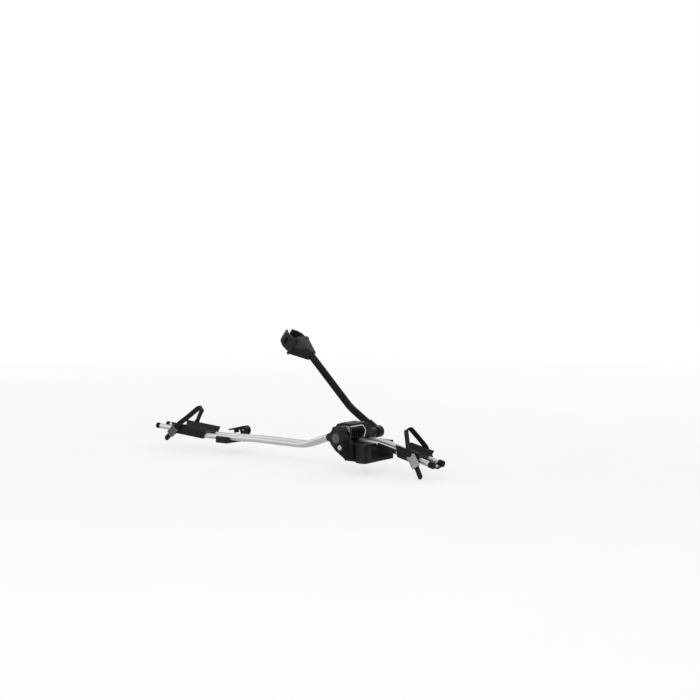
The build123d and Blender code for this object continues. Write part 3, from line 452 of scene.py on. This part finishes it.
# Straps: moulded rubber in the fastened loop, toothed on the near side for the buckle. Teeth start at a share
# of the strap's length, fill a share of their pitch and rise by a share of its thickness; the tip narrows.
strap_width = 0.022
strap_thick = 0.0025
strap_edge = 0.0025
strap_bend = 0.014
strap_step = 0.0011
loop_middle = 0.04
teeth_from = 0.6
tooth_pitch = 0.0055
tooth_share = 0.45
tooth_rise = 0.28
tip_length = 0.011
tip_width = 0.45


def strap_piece(name, node, body, anchor, lean, crown, tail):
    """A moulded strap: crowned section, raised edges and a ladder of teeth down to its tail."""
    lean = Vector(lean).normalized()
    side = Vector((0, 1, 0))
    across = side.cross(lean)
    screw = middle(anchor)
    origin = Vector((screw.x, 0, screw.z))
    flat = [(0.0515, -0.012), (0.0515, 0.044), (0.034, 0.084), (0.014, crown), (-0.014, crown),
            (-0.034, 0.084), (-0.0545, 0.044), (-0.0545, -0.028), (-0.060, tail)]
    route = rounded_path([Vector((y, v, 0)) for y, v in flat], strap_bend, strap_step)
    total = 0
    lengths = [0]
    for p, q in zip(route, route[1:]):
        total += (q - p).length
        lengths.append(total)
    half = strap_width / 2
    outline = [(-half, 0.0), (-half, 0.75), (-half + 0.0008, 1.0), (-half + 0.0022, 1.0),
               (-half + 0.003, 0.72), (0, 0.78), (half - 0.003, 0.72), (half - 0.0022, 1.0),
               (half - 0.0008, 1.0), (half, 0.75), (half, 0.0), (half - 0.0008, -0.25), (0, -0.25),
               (-half + 0.0008, -0.25)]
    verts = []
    for i, at in enumerate(route):
        ahead = heading(route, i)
        out = Vector((ahead.y, -ahead.x, 0))
        if out.dot(Vector((at.x, at.y - loop_middle, 0))) < 0:
            out = -out
        toothed = lengths[i] / total > teeth_from and (lengths[i] / tooth_pitch) % 1.0 < tooth_share
        taper = min(1.0, (total - lengths[i]) / tip_length + tip_width)
        for w, level in outline:
            inside = abs(w) < half - strap_edge
            depth = strap_thick * (level * 0.8 - 0.3)
            if toothed and inside and level > 0.5:
                depth += strap_thick * tooth_rise
            local = at + out * depth
            verts.append(origin + side * local.x + lean * local.y + across * (w * taper))
    obj = piece(name, verts, loft(0, len(route), len(outline)), strap_rubber, body)
    obj.data.polygons[-1].use_smooth = False
    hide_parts(node)


strap_piece("front_strap_moulded", "front_strap", "front_holder", "front_strap_anchor",
            (-0.527, 0, 0.85), 0.124, -0.074)
strap_piece("rear_strap_moulded", "rear_strap", "rear_holder", "rear_strap_anchor",
            (0.735, 0, 0.678), 0.142, -0.062)


# Rubber linings and feet
def soft_copy(name, node, body, voxel, ridge_pitch, ridge_depth):
    """A rubber lining: the node's form, rounded over, with moulded ridges across the frame tube."""
    obj = node_copy(name, node)
    remesh = obj.modifiers.new("form", "REMESH")
    remesh.mode = "VOXEL"
    remesh.voxel_size = voxel
    smooth = obj.modifiers.new("soften", "SMOOTH")
    smooth.factor = 0.5
    smooth.iterations = 3
    made = baked(obj)
    way = Vector(slope).normalized()
    for vertex in made.vertices:
        wave = 0.5 + 0.5 * math.cos(vertex.co.dot(way) * 2 * math.pi / ridge_pitch)
        vertex.co -= vertex.normal * (ridge_depth * (1 - wave ** 2))
    coat(made, rubber)
    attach(obj, body)
    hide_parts(node)


soft_copy("near_jaw_lining", "near_jaw_pad", "near_jaw", 0.0009, 0.005, 0.0005)
soft_copy("far_jaw_lining", "far_jaw_pad", "far_jaw", 0.0009, 0.005, 0.0005)
soft_copy("cradle_lining", "cradle_pad", "arm", 0.001, 0.006, 0.0006)


def rubber_foot(name, node, body, soften):
    """A thin rubber foot: the node's plan with its edges rolled over."""
    obj = node_copy(name, node, 0.00002, math.radians(4))
    made = rolled(obj, soften)
    made.materials.clear()
    made.materials.append(rubber)
    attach(obj, body)
    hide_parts(node)
    return obj


base_rubber = rubber_foot("base_foot_rubber", "base_pad", "carrier", 0.0007)
rubber_foot("rear_foot_rubber", "rear_pad", "carrier", 0.0007)


# Screw heads on the knuckle's cover
def screw_heads(name, places, radius, height, body):
    """Pan heads with a hexagon socket, facing +Y, in one piece."""
    around = 24
    rings = [(radius, 0, False), (radius, 0.6, False), (0.84 * radius, 1, False), (0.5 * radius, 1, True),
             (0.5 * radius, 0.3, True)]
    verts = []
    faces = []
    for place in places:
        faces += loft(len(verts), len(rings), around)
        for size, level, socket in rings:
            for i in range(around):
                turn = 2 * math.pi * i / around
                flat = math.cos(math.pi / 6) / math.cos(turn % (math.pi / 3) - math.pi / 6) if socket else 1
                verts.append((place[0] + size * flat * math.cos(turn), place[1] + height * level,
                              place[2] + size * flat * math.sin(turn)))
    piece(name, verts, faces, zinc, body, smooth=False)


screw_circle = 0.0125
screw_sunk = 0.0002
cover = middle("knuckle_cover")
cover_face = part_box("knuckle_cover")[1][1] - screw_sunk
screw_places = [(cover.x + screw_circle * math.cos(turn), cover_face, cover.z + screw_circle * math.sin(turn))
                for turn in (0.6, 0.6 + 2 * math.pi / 3, 0.6 + 4 * math.pi / 3)]
screw_heads("cover_screws", screw_places, 0.0028, 0.0014, "arm")


# The base as the photograph shows it: lower foot, leaner knob housing, recess and hoop in the bridge
def prism(name, outline, way, low, high):
    """A closed outline pushed along X (outline in Y, Z) or along Y (outline in X, Z)."""
    verts = []
    for level in (low, high):
        for a, b in outline:
            verts.append((level, a, b) if way == "X" else (a, level, b))
    count = len(outline)
    faces = [tuple(range(count)), tuple(range(count, 2 * count))]
    faces += [(i, (i + 1) % count, count + (i + 1) % count, count + i) for i in range(count)]
    return linked(name, outward_mesh(name, verts, faces))


def rounded_loop(points, radius, step=0.002):
    """A closed outline with its corners rounded."""
    ring = [Vector((a, b, 0)) for a, b in points]
    start = (ring[-1] + ring[0]) / 2
    path = rounded_path([start] + ring + [start], radius, step)
    return [(v.x, v.y) for v in path[:-1]]


def carve(obj, cutter, operation="DIFFERENCE"):
    """Cut one form away from an object, or join it on, and drop it."""
    made = obj.modifiers.new("carve", "BOOLEAN")
    made.operation = operation
    made.solver = "EXACT"
    made.object = cutter
    baked(obj)
    bpy.data.objects.remove(cutter)


def dress(obj, material, body, node):
    """Finish a carved piece that stands in for a node."""
    coat(obj.data, material, sharp=32)
    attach(obj, body)
    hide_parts(node)


def block(low, high):
    """A plain cutter between two corners."""
    return prism("cutter", [(low[1], low[2]), (high[1], low[2]), (high[1], high[2]), (low[1], high[2])], "X",
                 low[0], high[0])


def together(parts):
    """Several separate cutters as one."""
    work = bmesh.new()
    for part in parts:
        work.from_mesh(part.data)
        bpy.data.objects.remove(part)
    mesh = bpy.data.meshes.new("cutters")
    work.to_mesh(mesh)
    work.free()
    return linked("cutters", mesh)


def disc(centre, radius, low, high):
    """A round cutter along Y."""
    ring = [(centre[0] + radius * math.cos(i * math.pi / 24), centre[1] + radius * math.sin(i * math.pi / 24))
            for i in range(48)]
    return prism("cutter", ring, "Y", low, high)


def rear_corner():
    """The wedge that is cut off the base's lower rear edge."""
    return prism("cutter", [(-0.095, 0.058), (-0.095, -0.004), (-0.0605, -0.004)], "Y", -0.2, 0.2)


# How near doubled corners lie, how far a cutter reaches past what it cuts, and the height of the foot's top
weld = 0.00001
past = 0.01
foot_top = 0.070

# Knob housing, bored for the axle
axle_bore = 0.0044
housing_set_back = 0.0008
housing_bend = 0.013
housing_edge = 0.003
pivot = middle("axle_ring")
housing_low, housing_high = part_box("knob_housing")
housing_corners = [(-0.104, 0.128), (-0.066, 0.128), (-0.043, 0.103), (-0.008, 0.050), (0.002, 0.0075),
                   (-0.040, 0.0075), (-0.090, 0.038), (-0.114, 0.062)]
housing = prism("knob_housing_moulded", rounded_loop(housing_corners, housing_bend), "Y",
                housing_low[1] + housing_set_back, housing_high[1])
rolled(housing, housing_edge)
carve(housing, disc((pivot.x, pivot.z), axle_bore, housing_low[1] - past, housing_high[1] + past))
dress(housing, black, "carrier", "knob_housing")

# Bridge housing: front filled level, overhang at the rear, rounded far shoulder, window and ribbed recess
front_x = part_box("bridge_housing")[1][0]
recess = [(-0.078, 0.0882), (-0.078, 0.117), (-0.013, 0.117), (-0.007, 0.098), (-0.019, 0.0882)]
recess_depth = 0.0078
shoulder_y = -0.006
shoulder_z = 0.080
shoulder_radius = 0.060
shoulder_clear = 0.070
filler_depth = 0.0092
filler_proud = 0.00005
rib_count = 4
rib_middle = -0.0455
rib_pitch = 0.014
rib_half = 0.0015
rib_root = 0.001
rib_low = 0.0874
rib_high = 0.1178

bridge = node_copy("bridge_housing_moulded", "bridge_housing", weld)
filler = block((front_x - filler_depth, -0.0886, 0.0862), (front_x + filler_proud, 0.0352, 0.1286))
overhang = prism("cutter", [(-0.078, 0.139), (-0.096, 0.137), (-0.104, 0.132), (-0.108, 0.124),
                            (-0.108, 0.104), (-0.103, 0.099), (-0.078, 0.096)], "Y", -0.0885, 0.030)
carve(bridge, together([filler, overhang]), "UNION")
shoulder = [(shoulder_y + shoulder_radius * math.sin(i * math.pi / 32),
             shoulder_z + shoulder_radius * math.cos(i * math.pi / 32)) for i in range(17)]
shoulder += [(shoulder_clear, shoulder_z), (shoulder_clear, shoulder_z + shoulder_clear),
             (shoulder_y, shoulder_z + shoulder_clear)]
shoulder_cut = prism("cutter", shoulder, "X", -0.2, 0.0)
window = prism("cutter", [(-0.082, foot_top), (-0.030, foot_top), (-0.030, 0.0860), (-0.054, 0.0860),
                          (-0.054, 0.083), (-0.082, 0.083)], "Y", -0.0896, -0.039)
recess_cut = prism("cutter", rounded_loop(recess, 0.003, 0.001), "X", front_x - recess_depth, front_x + past)
carve(bridge, together([shoulder_cut, window, recess_cut, rear_corner()]))
ribs = []
for rib in range(rib_count):
    across = rib_middle + (rib - (rib_count - 1) / 2) * rib_pitch
    ribs.append(block((front_x - recess_depth - rib_root, across - rib_half, rib_low),
                      (front_x - recess_depth / 2, across + rib_half, rib_high)))
carve(bridge, together(ribs), "UNION")
dress(bridge, black_gloss, "carrier", "bridge_housing")

# Hoop: a light metal band round the recess, and the grey plate at its near end
hoop_line = [(-0.088, 0.129), (-0.014, 0.129), (0.005, 0.1075), (-0.008, 0.083)]
hoop_thick = 0.0042
hoop_breadth = 0.006
hoop_set_back = 0.001
hoop_bend = 0.012
hoop_step = 0.0015
band = [(-0.5, -0.5), (0.4, -0.5), (0.5, -0.36), (0.5, 0.36), (0.4, 0.5), (-0.5, 0.5)]
route = rounded_path([Vector((0, y, z)) for y, z in hoop_line], hoop_bend, hoop_step)
verts = []
for i, at in enumerate(route):
    ahead = heading(route, i)
    across = Vector((0, -ahead.z, ahead.y))
    for out, side in band:
        verts.append(at + Vector((front_x - hoop_set_back + out * hoop_breadth, 0, 0))
                     + across * (side * hoop_thick))
hoop = piece("bridge_hoop_band", verts, loft(0, len(route), len(band)), hoop_metal, "carrier",
             smooth=False)
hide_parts("bridge_hoop")

hoop_foot_line = [(-0.0622, 0.1312), (-0.0385, 0.1312), (-0.0385, 0.1040), (-0.0412, 0.1078)]
hoop_foot = prism("hoop_foot_plate", hoop_foot_line, "Y", -0.0903, -0.0891)
rolled(hoop_foot, 0.0003)
hoop_foot.data.materials.append(buckle_grey)
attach(hoop_foot, "carrier")

# Foot with a lower top, and the plate and rubber below it without their rear corner
foot_low, foot_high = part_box("base_foot")
foot = node_copy("base_foot_moulded", "base_foot", weld)
carve(foot, block((foot_low[0] - past, foot_low[1] - past, foot_top),
                  (foot_high[0] + past, foot_high[1] + past, 0.1)))
dress(foot, black, "carrier", "base_foot")

plate = node_copy("base_plate_cut", "base_plate", weld)
carve(plate, rear_corner())
dress(plate, black_steel, "carrier", "base_plate")
carve(base_rubber, rear_corner())


# The rail's label and the sleeves of its end caps
def rail_label(first_x, last_x, thick):
    """A plain dark label on the near tube's outer side, from one X to another."""
    near_face = -0.42
    near_side = -0.030
    obj = node_copy("rail_label", "rail", weld)
    work = bmesh.new()
    work.from_mesh(obj.data)
    for x, way in ((first_x, 1), (last_x, -1)):
        bmesh.ops.bisect_plane(work, geom=work.verts[:] + work.edges[:] + work.faces[:], plane_co=(x, 0, 0),
                               plane_no=(way, 0, 0), clear_inner=True)
    work.normal_update()
    away = [f for f in work.faces if f.normal.y > near_face or f.calc_center_median().y > near_side]
    bmesh.ops.delete(work, geom=away, context="FACES")
    work.to_mesh(obj.data)
    work.free()
    thicken = obj.modifiers.new("thicken", "SOLIDIFY")
    thicken.thickness = thick
    thicken.offset = 0
    coat(baked(obj), black, sharp=40)
    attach(obj, "carrier")


rail_label(0.0530, 0.1400, 0.0004)

tube_radius = 0.0105
tube_offset = 0.029


def cap_sleeves(name, rail_end, outward, profile):
    """A sleeve round each tube at a rail's end, turned from a profile of added radius and reach."""
    along = Vector(outward).normalized()
    up = Vector((0, 1, 0)).cross(along)
    around = 40
    verts = []
    faces = []
    for side in (-1, 1):
        faces += loft(len(verts), len(profile), around, closed=False)
        centre = Vector(rail_end) + Vector((0, side * tube_offset, 0))
        for grown, reach in profile:
            radius = tube_radius + grown
            for i in range(around):
                turn = 2 * math.pi * i / around
                verts.append(centre + along * reach + Vector((0, radius * math.cos(turn), 0))
                             + up * (radius * math.sin(turn)))
    piece(name, verts, faces, black, "carrier")


cap_sleeves("front_cap_sleeves", (0.300, 0, 0.010), (0.2549, 0, -0.0528),
            [(0.0001, -0.014), (0.0019, -0.0135), (0.0020, 0.0045), (0.0005, 0.0068), (-0.004, 0.00705),
             (-0.0105, 0.00705)])
cap_sleeves("rear_cap_sleeves", (-1.133, 0, 0.038), (-0.2973, 0, 0.019),
            [(-0.0004, -0.014), (0.0002, -0.014), (0.0002, 0.0)])


# Floor, backdrop and light
def seen_directly(tree):
    """One for what the camera sees, straight, in a gloss or through glass, and zero for other light."""
    path = tree.nodes.new("ShaderNodeLightPath")
    last = path.outputs["Is Camera Ray"]
    for ray in ("Is Glossy Ray", "Is Transmission Ray"):
        either = tree.nodes.new("ShaderNodeMath")
        either.operation = "MAXIMUM"
        tree.links.new(last, either.inputs[0])
        tree.links.new(path.outputs[ray], either.inputs[1])
        last = either.outputs[0]
    return last


floor_mat = Nodes("pale_floor")
grain = floor_mat.noise(3.0, 3.0)
floor_mat.link(floor_mat.ramp(grain, [(0.3, (0.86, 0.86, 0.86)), (0.7, (0.9, 0.9, 0.9))]),
               floor_mat.shader.inputs["Base Color"])
floor_mat.shader.inputs["Roughness"].default_value = 0.9
floor_mat.shader.inputs["Specular IOR Level"].default_value = 0.1
reach = floor_mat.node("ShaderNodeVectorMath", operation="LENGTH")
floor_mat.link(floor_mat.coords.outputs["Object"], reach.inputs[0])
fade = floor_mat.node("ShaderNodeMapRange")
for socket, value in (("From Min", 1.2), ("From Max", 5.0), ("To Min", 0.7), ("To Max", 1.0)):
    fade.inputs[socket].default_value = value
floor_mat.link(reach.outputs["Value"], fade.inputs["Value"])
pale = floor_mat.node("ShaderNodeMath", operation="MULTIPLY")
floor_mat.link(fade.outputs["Result"], pale.inputs[0])
floor_mat.link(seen_directly(floor_mat.tree), pale.inputs[1])
glow = floor_mat.node("ShaderNodeEmission")
glow.inputs["Color"].default_value = (1, 1, 1, 1)
glow.inputs["Strength"].default_value = 1.0
blend = floor_mat.node("ShaderNodeMixShader")
floor_mat.link(pale.outputs[0], blend.inputs["Fac"])
floor_mat.link(floor_mat.shader.outputs[0], blend.inputs[1])
floor_mat.link(glow.outputs[0], blend.inputs[2])
floor_mat.link(blend.outputs[0], floor_mat.tree.nodes["Material Output"].inputs["Surface"])

floor_mesh = bpy.data.meshes.new("floor")
half_floor = 30
floor_mesh.from_pydata([(-half_floor, -half_floor, 0), (half_floor, -half_floor, 0),
                        (half_floor, half_floor, 0), (-half_floor, half_floor, 0)], [], [(0, 1, 2, 3)])
floor = bpy.data.objects.new("floor", floor_mesh)
floor.location = (-0.4, 0, cad_box[0][2] - 0.003)
scene.collection.objects.link(floor)
floor_mesh.materials.append(floor_mat.mat)

world = bpy.data.worlds.new("world")
scene.world = world
world.use_nodes = True
background = world.node_tree.nodes["Background"]
background.inputs["Color"].default_value = (0.95, 0.96, 0.97, 1)
background.inputs["Strength"].default_value = 0.6
white = world.node_tree.nodes.new("ShaderNodeBackground")
white.inputs["Color"].default_value = (1, 1, 1, 1)
white.inputs["Strength"].default_value = 1.0
chosen = world.node_tree.nodes.new("ShaderNodeMixShader")
world.node_tree.links.new(seen_directly(world.node_tree), chosen.inputs["Fac"])
world.node_tree.links.new(background.outputs[0], chosen.inputs[1])
world.node_tree.links.new(white.outputs[0], chosen.inputs[2])
world.node_tree.links.new(chosen.outputs[0], world.node_tree.nodes["World Output"].inputs["Surface"])


def lamp(name, at, aim, power, width):
    data = bpy.data.lights.new(name, "AREA")
    data.energy = power
    data.size = width
    obj = bpy.data.objects.new(name, data)
    obj.location = at
    obj.rotation_euler = (Vector(aim) - Vector(at)).to_track_quat("-Z", "Y").to_euler()
    scene.collection.objects.link(obj)


lamp("key", (1.6, -2.6, 2.6), (-0.4, 0, 0.1), 46, 2.2)
lamp("fill", (-3.2, -1.6, 1.8), (-0.5, 0, 0.1), 18, 2.4)
lamp("back", (-0.6, 2.8, 2.4), (-0.4, 0, 0.1), 26, 2.4)
